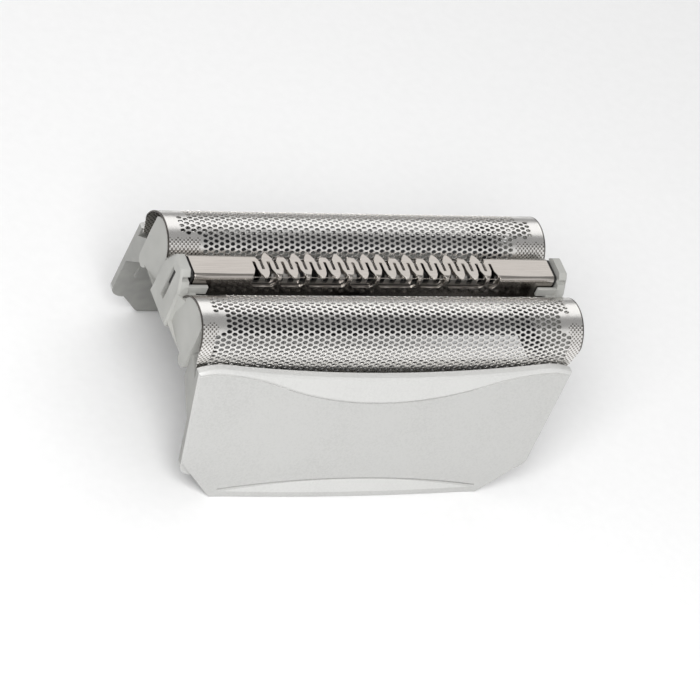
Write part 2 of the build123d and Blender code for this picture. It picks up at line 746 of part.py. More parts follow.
# Trimmer carrier: bar inside the comb's walls, plugs in its ends, caps and guide tongues
with BuildPart() as trimmer_carrier:
    bar_half_length = end_wall_inner_x - shelf_stem - bar_end_gap
    bar_half_width = comb_inside - trimmer_gap
    bar_width = (-bar_half_width, bar_half_width)
    block((-bar_half_length, bar_half_length), bar_width, (bar_bottom_z, bar_top_z))
    plug_inner_x = comb_end - plug_length
    plug_top_z = comb_top_z - comb_sheet - trimmer_gap
    cap_x = comb_end + trimmer_gap
    cap_half_width = comb_half_width - end_cap_inset
    cap_top_z = comb_top_z - end_cap_inset
    tongue_half_width = guide_slot_width / 2 - guide_tongue_gap
    for end in (-1, 1):
        riser = sorted((end * plug_inner_x, end * bar_half_length))
        block(riser, bar_width, (bar_bottom_z, blade_bottom_z))
        with BuildSketch(Plane.YZ.offset(end * plug_inner_x)) as plug_face:
            with Locations((0, plug_top_z)):
                Rectangle(2 * bar_half_width, plug_top_z - plug_bottom_z, align=(Align.CENTER, Align.MAX))
            chamfer(plug_face.vertices().group_by(Axis.Y)[-1], comb_bend - comb_sheet)
        extrude(amount=end * (cap_x - plug_inner_x))
        with BuildSketch(Plane.YZ.offset(end * cap_x)) as cap_face:
            with Locations((0, cap_top_z)):
                Rectangle(2 * cap_half_width, cap_top_z - plug_bottom_z, align=(Align.CENTER, Align.MAX))
            fillet(cap_face.vertices().group_by(Axis.Y)[-1], comb_bend - end_cap_inset)
        extrude(amount=end * end_cap_thick)
        tongue = sorted((end * cap_x, end * (cap_x + end_cap_thick + guide_tongue_length)))
        tongue_width = (-tongue_half_width, tongue_half_width)
        block(tongue, tongue_width, (plug_bottom_z, guide_slot_top_z - guide_tongue_gap))
        with BuildSketch(Plane.XY.offset(bar_bottom_z)):
            with Locations((end * lift_spring_x, 0)):
                RegularPolygon(spring_boss_radius, 6)
        extrude(amount=-spring_boss_height)
    leg_room = leg_half_length + blade_stroke + driver_leg_gap
    leg_side = driver_leg_width / 2 + driver_leg_gap
    block((-leg_room, leg_room), (-leg_side, leg_side), (bar_bottom_z - beyond, through), Mode.SUBTRACT)

# Right blade spring: bowed strip between the carrier and the driver
with BuildPart() as blade_spring_right:
    blade_spring_x = blade_spring_share * driver_half_length
    near_x = blade_spring_x - blade_spring_length / 2
    far_x = blade_spring_x + blade_spring_length / 2
    bow_top_z = driver_bottom_z - trimmer_gap
    strip_z = bar_top_z + blade_spring_sheet
    with BuildSketch(upright(0)):
        with BuildLine():
            bow = ThreePointArc((near_x, strip_z), (blade_spring_x, bow_top_z), (far_x, strip_z))
            belly = ThreePointArc(
                (far_x, bar_top_z), (blade_spring_x, bow_top_z - blade_spring_sheet), (near_x, bar_top_z)
            )
            Line(bow @ 1, belly @ 0)
            Line(belly @ 1, bow @ 0)
        make_face()
    extrude(amount=blade_spring_width / 2, both=True)

# Right lift spring: coil between the frame's shelf and the carrier
with BuildPart() as lift_spring_right:
    coil_low_z = shelf_top_z + lift_spring_wire / 2 + lift_spring_gap
    coil_high_z = bar_bottom_z - lift_spring_wire / 2 - lift_spring_gap
    coil_height = coil_high_z - coil_low_z
    with BuildLine():
        coil = Helix(
            pitch=coil_height / lift_spring_turns,
            height=coil_height,
            radius=lift_spring_radius,
            center=(lift_spring_x, 0, coil_low_z),
        )
    with BuildSketch(Plane(origin=coil @ 0, z_dir=coil % 0)):
        RegularPolygon(lift_spring_wire / 2, 4)
    sweep()

# Mirrored pieces
with BuildPart() as front_foil:
    add(mirror(rear_foil.part, about=Plane.XZ, mode=Mode.PRIVATE))
with BuildPart() as front_foil_carrier:
    add(mirror(rear_foil_carrier.part, about=Plane.XZ, mode=Mode.PRIVATE))
with BuildPart() as end_plate_left:
    add(mirror(end_plate_right.part, about=Plane.YZ, mode=Mode.PRIVATE))
with BuildPart() as blade_spring_left:
    add(mirror(blade_spring_right.part, about=Plane.YZ, mode=Mode.PRIVATE))
with BuildPart() as lift_spring_left:
    add(mirror(lift_spring_right.part, about=Plane.YZ, mode=Mode.PRIVATE))

pieces = {
    "outer_frame": outer_frame,
    "end_plate_left": end_plate_left,
    "end_plate_right": end_plate_right,
    "front_foil": front_foil,
    "rear_foil": rear_foil,
    "front_foil_carrier": front_foil_carrier,
    "rear_foil_carrier": rear_foil_carrier,
    "trimmer_comb": trimmer_comb,
    "trimmer_carrier": trimmer_carrier,
    "trimmer_blade": trimmer_blade,
    "blade_driver": blade_driver,
    "blade_spring_left": blade_spring_left,
    "blade_spring_right": blade_spring_right,
    "lift_spring_left": lift_spring_left,
    "lift_spring_right": lift_spring_right,
}
for label, piece in pieces.items():
    piece.part.label = label
    export_step(piece.part, f"parts/{label}.step")
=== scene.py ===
# %% [markdown]
# A shaver's foil head, seen from above its front left corner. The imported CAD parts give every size,
# and this lesson dresses them: it perforates the two foils, rounds the moulded and folded edges,
# gives each piece the finish of its real material, and sets up a small studio.

# %% Load the parts
import json
import math

import bmesh
import bpy
from mathutils import Matrix, Vector


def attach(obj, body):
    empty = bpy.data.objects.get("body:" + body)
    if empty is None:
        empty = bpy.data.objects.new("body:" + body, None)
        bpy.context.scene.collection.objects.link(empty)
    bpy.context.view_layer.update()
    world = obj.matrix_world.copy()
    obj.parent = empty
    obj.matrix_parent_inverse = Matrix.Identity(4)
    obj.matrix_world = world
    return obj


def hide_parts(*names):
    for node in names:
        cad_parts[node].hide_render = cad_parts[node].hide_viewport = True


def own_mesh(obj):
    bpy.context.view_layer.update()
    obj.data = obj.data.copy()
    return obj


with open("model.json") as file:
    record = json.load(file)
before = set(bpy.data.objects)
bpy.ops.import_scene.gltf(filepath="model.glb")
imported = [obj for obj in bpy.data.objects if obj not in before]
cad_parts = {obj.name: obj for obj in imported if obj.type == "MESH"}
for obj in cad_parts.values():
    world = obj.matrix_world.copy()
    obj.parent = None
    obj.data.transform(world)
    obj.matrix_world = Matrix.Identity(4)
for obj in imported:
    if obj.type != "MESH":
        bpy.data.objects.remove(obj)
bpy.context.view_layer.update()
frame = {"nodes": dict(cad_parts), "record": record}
MM = 0.001


# %% [markdown]
# Colours are easiest to pick as sRGB hex values, but Blender's shaders work in linear light. One
# function converts them. A second one adds a node, sets it up and links it, for shaders and for
# Geometry Nodes alike, so that each tree below reads from top to bottom.

# %% Colour and node helpers
def linear(code):
    """Linear RGBA of an sRGB hex code."""
    parts = [int(code[i : i + 2], 16) / 255 for i in (1, 3, 5)]
    return [c / 12.92 if c <= 0.04045 else ((c + 0.055) / 1.055) ** 2.4 for c in parts] + [1.0]


def node(tree, kind, links=None, **settings):
    """Adds a node, sets its properties, then fills or links its inputs by name or number."""
    made = tree.nodes.new(kind)
    for name, value in settings.items():
        setattr(made, name, value)
    for socket, value in (links or {}).items():
        if isinstance(value, bpy.types.NodeSocket):
            tree.links.new(value, made.inputs[socket])
        else:
            made.inputs[socket].default_value = value
    return made


def new_material(name):
    """Empty material with a Principled shader; returns the material, its tree and the shader."""
    material = bpy.data.materials.new(name)
    material.use_nodes = True
    tree = material.node_tree
    return material, tree, tree.nodes["Principled BSDF"]


# %% [markdown]
# The frame is moulded plastic under a metallic silver lacquer. Tiny aluminium flakes give the lacquer
# faint light and dark specks, which real flakes of 0.03 mm would be too fine to show here. The mould
# is grained on the panels and polished on the bands beside their creases, so the lacquer is smoother
# there. A lighter copy of it is painted on those bands: painted light, for the light they catch as they
# turn further up towards the lamps.

# %% Silver lacquer
def lacquer(name, dark, light, grain_strength):
    """Silver lacquer with flakes, over a grained or polished moulding."""
    material, tree, shader = new_material(name)
    place = node(tree, "ShaderNodeTexCoord").outputs["Object"]
    # Flakes are drawn 0.16 mm wide, about five times their real size, so that they show
    flakes = node(tree, "ShaderNodeTexVoronoi", {"Vector": place, "Scale": 1 / (0.16 * MM)})
    flake_grey = node(tree, "ShaderNodeSeparateColor", {"Color": flakes.outputs["Color"]})
    cloud = node(tree, "ShaderNodeTexNoise", {"Vector": place, "Scale": 1 / (6 * MM), "Detail": 2.0})
    tone = node(
        tree,
        "ShaderNodeMath",
        {0: flake_grey.outputs["Red"], 1: 0.75, 2: cloud.outputs["Fac"]},
        operation="MULTIPLY_ADD",
    )
    paint = node(tree, "ShaderNodeValToRGB", {"Fac": tone.outputs[0]})
    paint.color_ramp.elements[0].position = 0.2
    paint.color_ramp.elements[0].color = linear(dark)
    paint.color_ramp.elements[1].position = 1.0
    paint.color_ramp.elements[1].color = linear(light)
    tree.links.new(paint.outputs["Color"], shader.inputs["Base Color"])
    grain = node(
        tree,
        "ShaderNodeBump",
        {"Strength": grain_strength, "Distance": 0.02 * MM, "Height": flake_grey.outputs["Red"]},
    )
    tree.links.new(grain.outputs["Normal"], shader.inputs["Normal"])
    shader.inputs["Metallic"].default_value = 0.12
    shader.inputs["Roughness"].default_value = 0.42
    return material


silver_lacquer = lacquer("silver_lacquer_on_abs", "#B4B4B2", "#BDBDBB", 0.1)
# The bands' copy is painted lighter: painted light for their upward tilt, with a smoother grain
band_lacquer_painted_lighter = lacquer("smooth_lacquer_painted_light", "#C5C5C3", "#CBCBC9", 0.02)
print("made", silver_lacquer.name, band_lacquer_painted_lighter.name)

# %% [markdown]
# The end plates are bare moulded plastic in a slightly greenish grey. A spark-eroded mould leaves a
# very fine, even grain, so the surface is satin and its highlights are wide.

# %% End plate plastic
plate_plastic, tree, shader = new_material("satin_grey_pom")
place = node(tree, "ShaderNodeTexCoord").outputs["Object"]
erosion = node(tree, "ShaderNodeTexNoise", {"Vector": place, "Scale": 1 / (0.12 * MM), "Detail": 3.0})
patch = node(tree, "ShaderNodeTexNoise", {"Vector": place, "Scale": 1 / (2.5 * MM), "Detail": 1.0})
plate_tone = node(tree, "ShaderNodeValToRGB", {"Fac": patch.outputs["Fac"]})
plate_tone.color_ramp.elements[0].position = 0.3
plate_tone.color_ramp.elements[0].color = linear("#A2A29E")
plate_tone.color_ramp.elements[1].position = 0.7
plate_tone.color_ramp.elements[1].color = linear("#ACACA8")
tree.links.new(plate_tone.outputs["Color"], shader.inputs["Base Color"])
eroded = node(
    tree,
    "ShaderNodeBump",
    {"Strength": 0.12, "Distance": 0.02 * MM, "Height": erosion.outputs["Fac"]},
)
tree.links.new(eroded.outputs["Normal"], shader.inputs["Normal"])
shader.inputs["Roughness"].default_value = 0.48
print("made", plate_plastic.name)

# %% [markdown]
# Inside the frame the faces are matt grey plastic with faint flow marks, painted darker than the
# lacquer: painted shade, for the little light that reaches in there.

# %% Frame inside with painted shade
inside_shade_plastic, tree, shader = new_material("grey_abs_painted_shade")
place = node(tree, "ShaderNodeTexCoord").outputs["Object"]
flow = node(tree, "ShaderNodeTexNoise", {"Vector": place, "Scale": 1 / (1.5 * MM), "Detail": 2.0})
inside_shade_tone = node(tree, "ShaderNodeValToRGB", {"Fac": flow.outputs["Fac"]})
inside_shade_tone.color_ramp.elements[0].position = 0.3
inside_shade_tone.color_ramp.elements[0].color = linear("#92928F")
inside_shade_tone.color_ramp.elements[1].position = 0.7
inside_shade_tone.color_ramp.elements[1].color = linear("#9D9D99")
tree.links.new(inside_shade_tone.outputs["Color"], shader.inputs["Base Color"])
shader.inputs["Roughness"].default_value = 0.55
print("made", inside_shade_plastic.name)

# %% [markdown]
# The foils are nickel, grown in a bath on a patterned drum. The skin is mirror bright with a soft
# ripple. At both ends the drum prints a field of small diamonds, which a bump follows along the
# foil's own flat coordinates, stored on the mesh as an attribute.

# %% Electroformed nickel
nickel, tree, shader = new_material("electroformed_nickel")
flat = node(tree, "ShaderNodeAttribute", attribute_name="flat").outputs["Vector"]
across = node(tree, "ShaderNodeSeparateXYZ", {"Vector": flat})
waves = []
for slope in (1.0, -1.0):
    # Diamonds stand 0.3 mm apart, along two diagonals of the sheet
    ramp = node(
        tree,
        "ShaderNodeMath",
        {0: across.outputs["Y"], 1: slope, 2: across.outputs["X"]},
        operation="MULTIPLY_ADD",
    )
    turns = node(
        tree,
        "ShaderNodeMath",
        {0: ramp.outputs[0], 1: 2 * math.pi / (0.3 * math.sqrt(2))},
        operation="MULTIPLY",
    )
    waves.append(node(tree, "ShaderNodeMath", {0: turns.outputs[0]}, operation="COSINE").outputs[0])
lattice = node(tree, "ShaderNodeMath", {0: waves[0], 1: waves[1]}, operation="ADD")
end_zone = node(tree, "ShaderNodeAttribute", attribute_name="hatch").outputs["Fac"]
diamonds = node(tree, "ShaderNodeMath", {0: lattice.outputs[0], 1: end_zone}, operation="MULTIPLY")
ripple = node(tree, "ShaderNodeTexNoise", {"Vector": flat, "Scale": 1.1, "Detail": 2.0})
relief = node(
    tree,
    "ShaderNodeMath",
    {0: diamonds.outputs[0], 1: 0.5, 2: ripple.outputs["Fac"]},
    operation="MULTIPLY_ADD",
)
skin = node(
    tree,
    "ShaderNodeBump",
    {"Strength": 0.35, "Distance": 0.03 * MM, "Height": relief.outputs[0]},
)
tree.links.new(skin.outputs["Normal"], shader.inputs["Normal"])
pit = node(tree, "ShaderNodeValToRGB", {"Fac": diamonds.outputs[0]})
pit.color_ramp.elements[0].position = 0.1
pit.color_ramp.elements[0].color = linear("#EAE8E5")
pit.color_ramp.elements[1].position = 0.75
pit.color_ramp.elements[1].color = linear("#8A8580")
# The last tenth of a millimetre at the sheet's ends is painted dark: painted shadow of the gap by the
# end plate
reach = node(tree, "ShaderNodeMath", {0: across.outputs["X"]}, operation="ABSOLUTE")
painted_gap_shadow = node(
    tree,
    "ShaderNodeMapRange",
    {"Value": reach.outputs[0], "From Min": 20.84, "From Max": 20.92, "To Min": 0.0, "To Max": 1.0},
)
skin_tone_and_gap_shadow = node(
    tree,
    "ShaderNodeMix",
    {"Factor": painted_gap_shadow.outputs["Result"], "A": pit.outputs["Color"], "B": linear("#55514D")},
    data_type="RGBA",
)
tree.links.new(skin_tone_and_gap_shadow.outputs["Result"], shader.inputs["Base Color"])
shader.inputs["Metallic"].default_value = 1.0
shader.inputs["Roughness"].default_value = 0.26
print("made", nickel.name)

# %% [markdown]
# Inside, the nickel grew against the bath and not against the drum: it is dull and grey, and the
# cutters smear it darker still.

# %% Dull inside of the foils
dull_nickel, tree, shader = new_material("dull_nickel_inside")
flat = node(tree, "ShaderNodeAttribute", attribute_name="flat").outputs["Vector"]
smear = node(tree, "ShaderNodeMapping", {"Vector": flat, "Scale": (0.15, 1.0, 1.0)})
streak = node(
    tree,
    "ShaderNodeTexNoise",
    {"Vector": smear.outputs["Vector"], "Scale": 3.0, "Detail": 3.0},
)
inside_tone = node(tree, "ShaderNodeValToRGB", {"Fac": streak.outputs["Fac"]})
inside_tone.color_ramp.elements[0].position = 0.3
inside_tone.color_ramp.elements[0].color = linear("#4A4743")
inside_tone.color_ramp.elements[1].position = 0.75
inside_tone.color_ramp.elements[1].color = linear("#77736D")
tree.links.new(inside_tone.outputs["Color"], shader.inputs["Base Color"])
shader.inputs["Metallic"].default_value = 0.8
shader.inputs["Roughness"].default_value = 0.55
print("made", dull_nickel.name)

# %% [markdown]
# The comb and the blade are stainless strip: ground, then polished along their length. Long thin
# scratches along X spread the highlights across the strip.

# %% Ground stainless steel
def steel(name, dark, light, roughness, shaded_below=None):
    """Stainless strip with grinding marks along X; below a height, if one is given, painted darker as
    shade, except on faces turned up.
    """
    material, tree, shader = new_material(name)
    place = node(tree, "ShaderNodeTexCoord").outputs["Object"]
    stretch = node(tree, "ShaderNodeMapping", {"Vector": place, "Scale": (0.02, 1.0, 1.0)})
    # Grinding marks stand about 0.05 mm apart
    marks = node(
        tree,
        "ShaderNodeTexNoise",
        {"Vector": stretch.outputs["Vector"], "Scale": 1 / (0.05 * MM), "Detail": 3.0},
    )
    shade = node(tree, "ShaderNodeValToRGB", {"Fac": marks.outputs["Fac"]})
    shade.color_ramp.elements[0].position = 0.3
    shade.color_ramp.elements[0].color = linear(dark)
    shade.color_ramp.elements[1].position = 0.7
    shade.color_ramp.elements[1].color = linear(light)
    tone = shade.outputs["Color"]
    if shaded_below:
        height = node(tree, "ShaderNodeSeparateXYZ", {"Vector": place})
        above_shade = node(
            tree,
            "ShaderNodeMapRange",
            {
                "Value": height.outputs["Z"],
                "From Min": (shaded_below - 0.9) * MM,
                "From Max": shaded_below * MM,
            },
        )
        # Faces turned up keep the lighter tone below that height too: painted light from the lamps
        # above
        normal = node(tree, "ShaderNodeNewGeometry").outputs["Normal"]
        facing = node(tree, "ShaderNodeSeparateXYZ", {"Vector": normal})
        faces_up = node(
            tree,
            "ShaderNodeMapRange",
            {"Value": facing.outputs["Z"], "From Min": 0.35, "From Max": 0.7},
        )
        bright = node(
            tree,
            "ShaderNodeMath",
            {0: above_shade.outputs["Result"], 1: faces_up.outputs["Result"]},
            operation="MAXIMUM",
        )
        painted_shade = node(
            tree,
            "ShaderNodeMix",
            {"Factor": bright.outputs[0], "A": linear("#6A6662"), "B": tone},
            data_type="RGBA",
        )
        tone = painted_shade.outputs["Result"]
    tree.links.new(tone, shader.inputs["Base Color"])
    scratch = node(
        tree,
        "ShaderNodeBump",
        {"Strength": 0.1, "Distance": 0.01 * MM, "Height": marks.outputs["Fac"]},
    )
    tree.links.new(scratch.outputs["Normal"], shader.inputs["Normal"])
    shader.inputs["Metallic"].default_value = 1.0
    shader.inputs["Roughness"].default_value = roughness
    return material


# Below the fold the comb's walls are painted dark: painted shade, for the dark gap their steel mirrors
comb_steel = steel("comb_steel_painted_shade", "#B6B0AA", "#C1BBB5", 0.22, shaded_below=19.4)
blade_steel = steel("ground_blade_steel", "#8F8D8A", "#A9A7A4", 0.3)
spring_steel = steel("drawn_spring_steel", "#9A9793", "#B8B5B0", 0.35)
print("made", comb_steel.name, blade_steel.name, spring_steel.name)

# %% [markdown]
# Black and dark grey plastics carry the trimmer and the foils. They are moulded acetal and nylon:
# nearly black, with a fine grain that keeps the gloss low.

# %% Moulded dark plastics
def dark_plastic(name, low, high, roughness):
    """Moulded plastic with a fine eroded grain."""
    material, tree, shader = new_material(name)
    place = node(tree, "ShaderNodeTexCoord").outputs["Object"]
    grit = node(tree, "ShaderNodeTexNoise", {"Vector": place, "Scale": 1 / (0.1 * MM), "Detail": 3.0})
    shade = node(tree, "ShaderNodeValToRGB", {"Fac": grit.outputs["Fac"]})
    shade.color_ramp.elements[0].color = linear(low)
    shade.color_ramp.elements[1].color = linear(high)
    tree.links.new(shade.outputs["Color"], shader.inputs["Base Color"])
    rough = node(
        tree,
        "ShaderNodeBump",
        {"Strength": 0.15, "Distance": 0.02 * MM, "Height": grit.outputs["Fac"]},
    )
    tree.links.new(rough.outputs["Normal"], shader.inputs["Normal"])
    shader.inputs["Roughness"].default_value = roughness
    return material


black_acetal = dark_plastic("black_acetal", "#0B0B0B", "#1A1A19", 0.38)
grey_nylon = dark_plastic("dark_grey_nylon", "#26262A", "#38383A", 0.5)
print("made", black_acetal.name, grey_nylon.name)

# %% [markdown]
# Every node of the frame now gets the finish of its real material. Pieces that are reshaped further
# down take the same finish again there.

# %% Assign finishes
finishes = {
    "outer_frame": silver_lacquer,
    "end_plate_left": plate_plastic,
    "end_plate_right": plate_plastic,
    "front_foil": nickel,
    "rear_foil": nickel,
    "front_foil_carrier": grey_nylon,
    "rear_foil_carrier": grey_nylon,
    "trimmer_comb": comb_steel,
    "trimmer_carrier": black_acetal,
    "trimmer_blade": blade_steel,
    "blade_driver": black_acetal,
    "blade_spring_left": spring_steel,
    "blade_spring_right": spring_steel,
    "lift_spring_left": spring_steel,
    "lift_spring_right": spring_steel,
}
body_of_node = {}
for body, members in frame["record"]["behaviour"]["bodies"].items():
    for name in members:
        body_of_node[name] = body
for name, material in finishes.items():
    slots = frame["nodes"][name].data.materials
    slots.clear()
    slots.append(material)
print("finished", len(finishes), "nodes")

# %% [markdown]
# A foil has some fifteen hundred holes, far too many for the solid model. They sit on a honeycomb, so
# one small hexagon with an oval hole is repeated by Geometry Nodes on a flat grid, cut to the sheet's
# outline by clamping its edge, and then rolled over the arch. Plain hexagons close the ends.

# %% Honeycomb cells
hole_pitch = 1.17
row_step = 0.262
hole_half_length = 0.285
hole_half_width = 0.19


def cell_mesh(name, open_cell):
    """Hexagon of the honeycomb, in mm, with or without its oval hole."""
    tip, shoulder = hole_pitch / 3, hole_pitch / 6
    corners = [
        Vector((x, y, 0))
        for x, y in (
            (tip, 0),
            (shoulder, row_step),
            (-shoulder, row_step),
            (-tip, 0),
            (-shoulder, -row_step),
            (shoulder, -row_step),
        )
    ]
    rim = []
    for i in range(6):
        rim += [corners[i], (corners[i] + corners[(i + 1) % 6]) / 2]
    points = [tuple(p) for p in rim]
    faces = [tuple(range(12))]
    if open_cell:
        for i in range(12):
            a = i * math.pi / 6
            points.append((hole_half_length * math.cos(a), hole_half_width * math.sin(a), 0))
        faces = [(i, (i + 1) % 12, 12 + (i + 1) % 12, 12 + i) for i in range(12)]
    mesh = bpy.data.meshes.new(name)
    mesh.from_pydata(points, [], faces)
    return bpy.data.objects.new(name, mesh)


open_hexagon = cell_mesh("open_hexagon", True)
plain_hexagon = cell_mesh("plain_hexagon", False)
print("hole pitch", round(hole_pitch, 3), "mm, rows", row_step, "mm apart")

# %% [markdown]
# The tree works in millimetres on the flat sheet: X runs along the head and Y along the arch, from
# the inner lower edge to the outer one. Its inputs are the foil's real sizes.

# %% Foil tree
foil_tree = bpy.data.node_groups.new("rolled_foil", "GeometryNodeTree")
foil_tree.interface.new_socket("Geometry", in_out="OUTPUT", socket_type="NodeSocketGeometry")
for name, kind in (
    ("Half Length", "NodeSocketFloat"),
    ("Radius", "NodeSocketFloat"),
    ("Inner Flank", "NodeSocketFloat"),
    ("Outer Flank", "NodeSocketFloat"),
    ("Axis Y", "NodeSocketFloat"),
    ("Axis Z", "NodeSocketFloat"),
    ("Side", "NodeSocketFloat"),
    ("Finish", "NodeSocketMaterial"),
):
    foil_tree.interface.new_socket(name, in_out="INPUT", socket_type=kind)
sizes = node(foil_tree, "NodeGroupInput").outputs


def calc(operation, a, b=0.0, c=0.0):
    """One Math node of the foil tree; returns its value."""
    return node(foil_tree, "ShaderNodeMath", {0: a, 1: b, 2: c}, operation=operation).outputs[0]


def position():
    """Place of each point as the tree runs, split into its X, Y and Z."""
    place = node(foil_tree, "GeometryNodeInputPosition").outputs[0]
    return node(foil_tree, "ShaderNodeSeparateXYZ", {0: place}).outputs


arc = calc("MULTIPLY", sizes["Radius"], math.pi)
outer_edge = calc("ADD", calc("ADD", sizes["Inner Flank"], arc), sizes["Outer Flank"])
columns, rows = 40, 65
grid = node(
    foil_tree,
    "GeometryNodeMeshGrid",
    {
        "Size X": (columns - 1) * hole_pitch,
        "Size Y": (rows - 1) * row_step,
        "Vertices X": columns,
        "Vertices Y": rows,
    },
)
point = position()
row = calc("ROUND", calc("MULTIPLY_ADD", point["Y"], 1 / row_step, (rows - 1) / 2))
stagger = calc("MULTIPLY", calc("MODULO", row, 2.0), hole_pitch / 2)
u = calc("ADD", point["X"], stagger)
v = calc("MULTIPLY", row, row_step)
shifted = node(foil_tree, "ShaderNodeCombineXYZ", {0: u, 1: v}).outputs[0]
staggered = node(
    foil_tree,
    "GeometryNodeSetPosition",
    {"Geometry": grid.outputs["Mesh"], "Position": shifted},
)

# Where the holes are, in mm along the arch: short of the ends by a margin that steps out twice
end_margin = 1.55
middle_start, middle_end, middle_extra = 8.0, 10.1, 1.1
inner_end, inner_extra = 5.9, 2.2
first_hole, last_hole_gap = 2.4, 1.0
spot = position()
along = calc("ABSOLUTE", spot["X"])
down = spot["Y"]
past_start = calc("GREATER_THAN", down, middle_start)
middle_step = calc("MULTIPLY", past_start, calc("LESS_THAN", down, middle_end))
inner_step = calc("LESS_THAN", down, inner_end)
margin = calc("ADD", end_margin, calc("MULTIPLY", middle_step, middle_extra))
margin = calc("ADD", margin, calc("MULTIPLY", inner_step, inner_extra))
in_length = calc("LESS_THAN", along, calc("SUBTRACT", sizes["Half Length"], margin))
above_start = calc("GREATER_THAN", down, first_hole)
below_end = calc("LESS_THAN", down, calc("SUBTRACT", outer_edge, last_hole_gap))
is_hole = calc("MULTIPLY", in_length, calc("MULTIPLY", above_start, below_end))
# A cell whose middle is past the end by less than its reach still touches the sheet
cell_reach = hole_pitch / 3 - 0.01
is_sheet = calc("LESS_THAN", along, calc("ADD", sizes["Half Length"], cell_reach))
pieces = []
for cell, keep in (
    (open_hexagon, calc("MULTIPLY", is_hole, is_sheet)),
    (plain_hexagon, calc("MULTIPLY", calc("SUBTRACT", 1.0, is_hole), is_sheet)),
):
    shape = node(foil_tree, "GeometryNodeObjectInfo", {"Object": cell})
    pieces.append(
        node(
            foil_tree,
            "GeometryNodeInstanceOnPoints",
            {"Points": staggered.outputs[0], "Selection": keep, "Instance": shape.outputs["Geometry"]},
        ).outputs[0]
    )
joined = node(foil_tree, "GeometryNodeJoinGeometry")
for piece in pieces:
    foil_tree.links.new(piece, joined.inputs[0])
sheet = node(foil_tree, "GeometryNodeRealizeInstances", {"Geometry": joined.outputs[0]})
print("foil grid", columns, "by", rows)

# %% [markdown]
# Clamping cuts the sheet: at the ends its flanks are shorter, because the plates and the frame stand
# there. The flat place of each point is kept as an attribute for the finish, and the last step rolls
# the sheet: straight up the inner flank, round the arch, and straight down the outer flank.

# %% Cut and roll the sheet
flank_end = 18.5
end_top_inner = 3.6
end_drop_outer = 1.4
corner_start = 11.7
corner_slope = 0.2
spot = position()
at_end = calc("GREATER_THAN", calc("ABSOLUTE", spot["X"]), flank_end)
lowest = calc("MULTIPLY", at_end, end_top_inner)
highest = calc("SUBTRACT", outer_edge, calc("MULTIPLY", at_end, end_drop_outer))
v_cut = calc("MINIMUM", calc("MAXIMUM", spot["Y"], lowest), highest)
slant = calc("MULTIPLY", calc("MAXIMUM", calc("SUBTRACT", v_cut, corner_start), 0.0), corner_slope)
u_end = calc("SUBTRACT", sizes["Half Length"], slant)
u_cut = calc("MINIMUM", calc("MAXIMUM", spot["X"], calc("MULTIPLY", u_end, -1.0)), u_end)
flat_place = node(foil_tree, "ShaderNodeCombineXYZ", {0: u_cut, 1: v_cut}).outputs[0]
cut = node(foil_tree, "GeometryNodeSetPosition", {"Geometry": sheet.outputs[0], "Position": flat_place})
merged = node(foil_tree, "GeometryNodeMergeByDistance", {"Geometry": cut.outputs[0], "Distance": 0.02})

kept = node(
    foil_tree,
    "GeometryNodeStoreNamedAttribute",
    {
        "Geometry": merged.outputs[0],
        "Name": "flat",
        "Value": node(foil_tree, "GeometryNodeInputPosition").outputs[0],
    },
    data_type="FLOAT_VECTOR",
    domain="POINT",
)
# The diamonds fill a short field low on the outer side and a longer one on the inner side
outer_field_length, outer_field_start = 1.5, 9.3
inner_field_length, inner_field_end = 3.3, 5.4
spot = position()
along = calc("ABSOLUTE", spot["X"])
near_end = calc("GREATER_THAN", along, calc("SUBTRACT", sizes["Half Length"], outer_field_length))
nearly_end = calc("GREATER_THAN", along, calc("SUBTRACT", sizes["Half Length"], inner_field_length))
lower_part = calc("GREATER_THAN", spot["Y"], outer_field_start)
inner_part = calc("LESS_THAN", spot["Y"], inner_field_end)
inner_zone = calc("MULTIPLY", inner_part, nearly_end)
zone = calc("MAXIMUM", calc("MULTIPLY", near_end, lower_part), inner_zone)
hatched = node(
    foil_tree,
    "GeometryNodeStoreNamedAttribute",
    {"Geometry": kept.outputs[0], "Name": "hatch", "Value": zone},
    data_type="FLOAT",
    domain="POINT",
)
climb = calc("SUBTRACT", spot["Y"], sizes["Inner Flank"])
angle = calc("MINIMUM", calc("MAXIMUM", calc("DIVIDE", climb, sizes["Radius"]), 0.0), math.pi)
flank_in = calc("MINIMUM", climb, 0.0)
flank_out = calc("MAXIMUM", calc("SUBTRACT", climb, arc), 0.0)
roll_y = calc("MULTIPLY", calc("COSINE", angle), calc("MULTIPLY", sizes["Radius"], -1.0))
rise = calc("MULTIPLY_ADD", calc("SINE", angle), sizes["Radius"], flank_in)
roll_z = calc("SUBTRACT", rise, flank_out)
real_y = calc("MULTIPLY", calc("ADD", sizes["Axis Y"], roll_y), sizes["Side"])
rolled_place = node(
    foil_tree,
    "ShaderNodeCombineXYZ",
    {
        0: calc("MULTIPLY", spot["X"], MM),
        1: calc("MULTIPLY", real_y, MM),
        2: calc("MULTIPLY", calc("ADD", sizes["Axis Z"], roll_z), MM),
    },
)
rolled = node(
    foil_tree,
    "GeometryNodeSetPosition",
    {"Geometry": hatched.outputs[0], "Position": rolled_place.outputs[0]},
)
outward = node(
    foil_tree,
    "GeometryNodeFlipFaces",
    {"Mesh": rolled.outputs[0], "Selection": calc("LESS_THAN", sizes["Side"], 0.0)},
)
dressed = node(
    foil_tree,
    "GeometryNodeSetMaterial",
    {"Geometry": outward.outputs[0], "Material": sizes["Finish"]},
)
node(foil_tree, "NodeGroupOutput", {"Geometry": dressed.outputs[0]})
print("foil tree nodes", len(foil_tree.nodes))

# %% [markdown]
# The tree runs once for each foil. Solidify then gives the sheet its thickness, inwards from the
# outer face, and the evaluated result becomes a plain mesh that stands for the CAD foil.


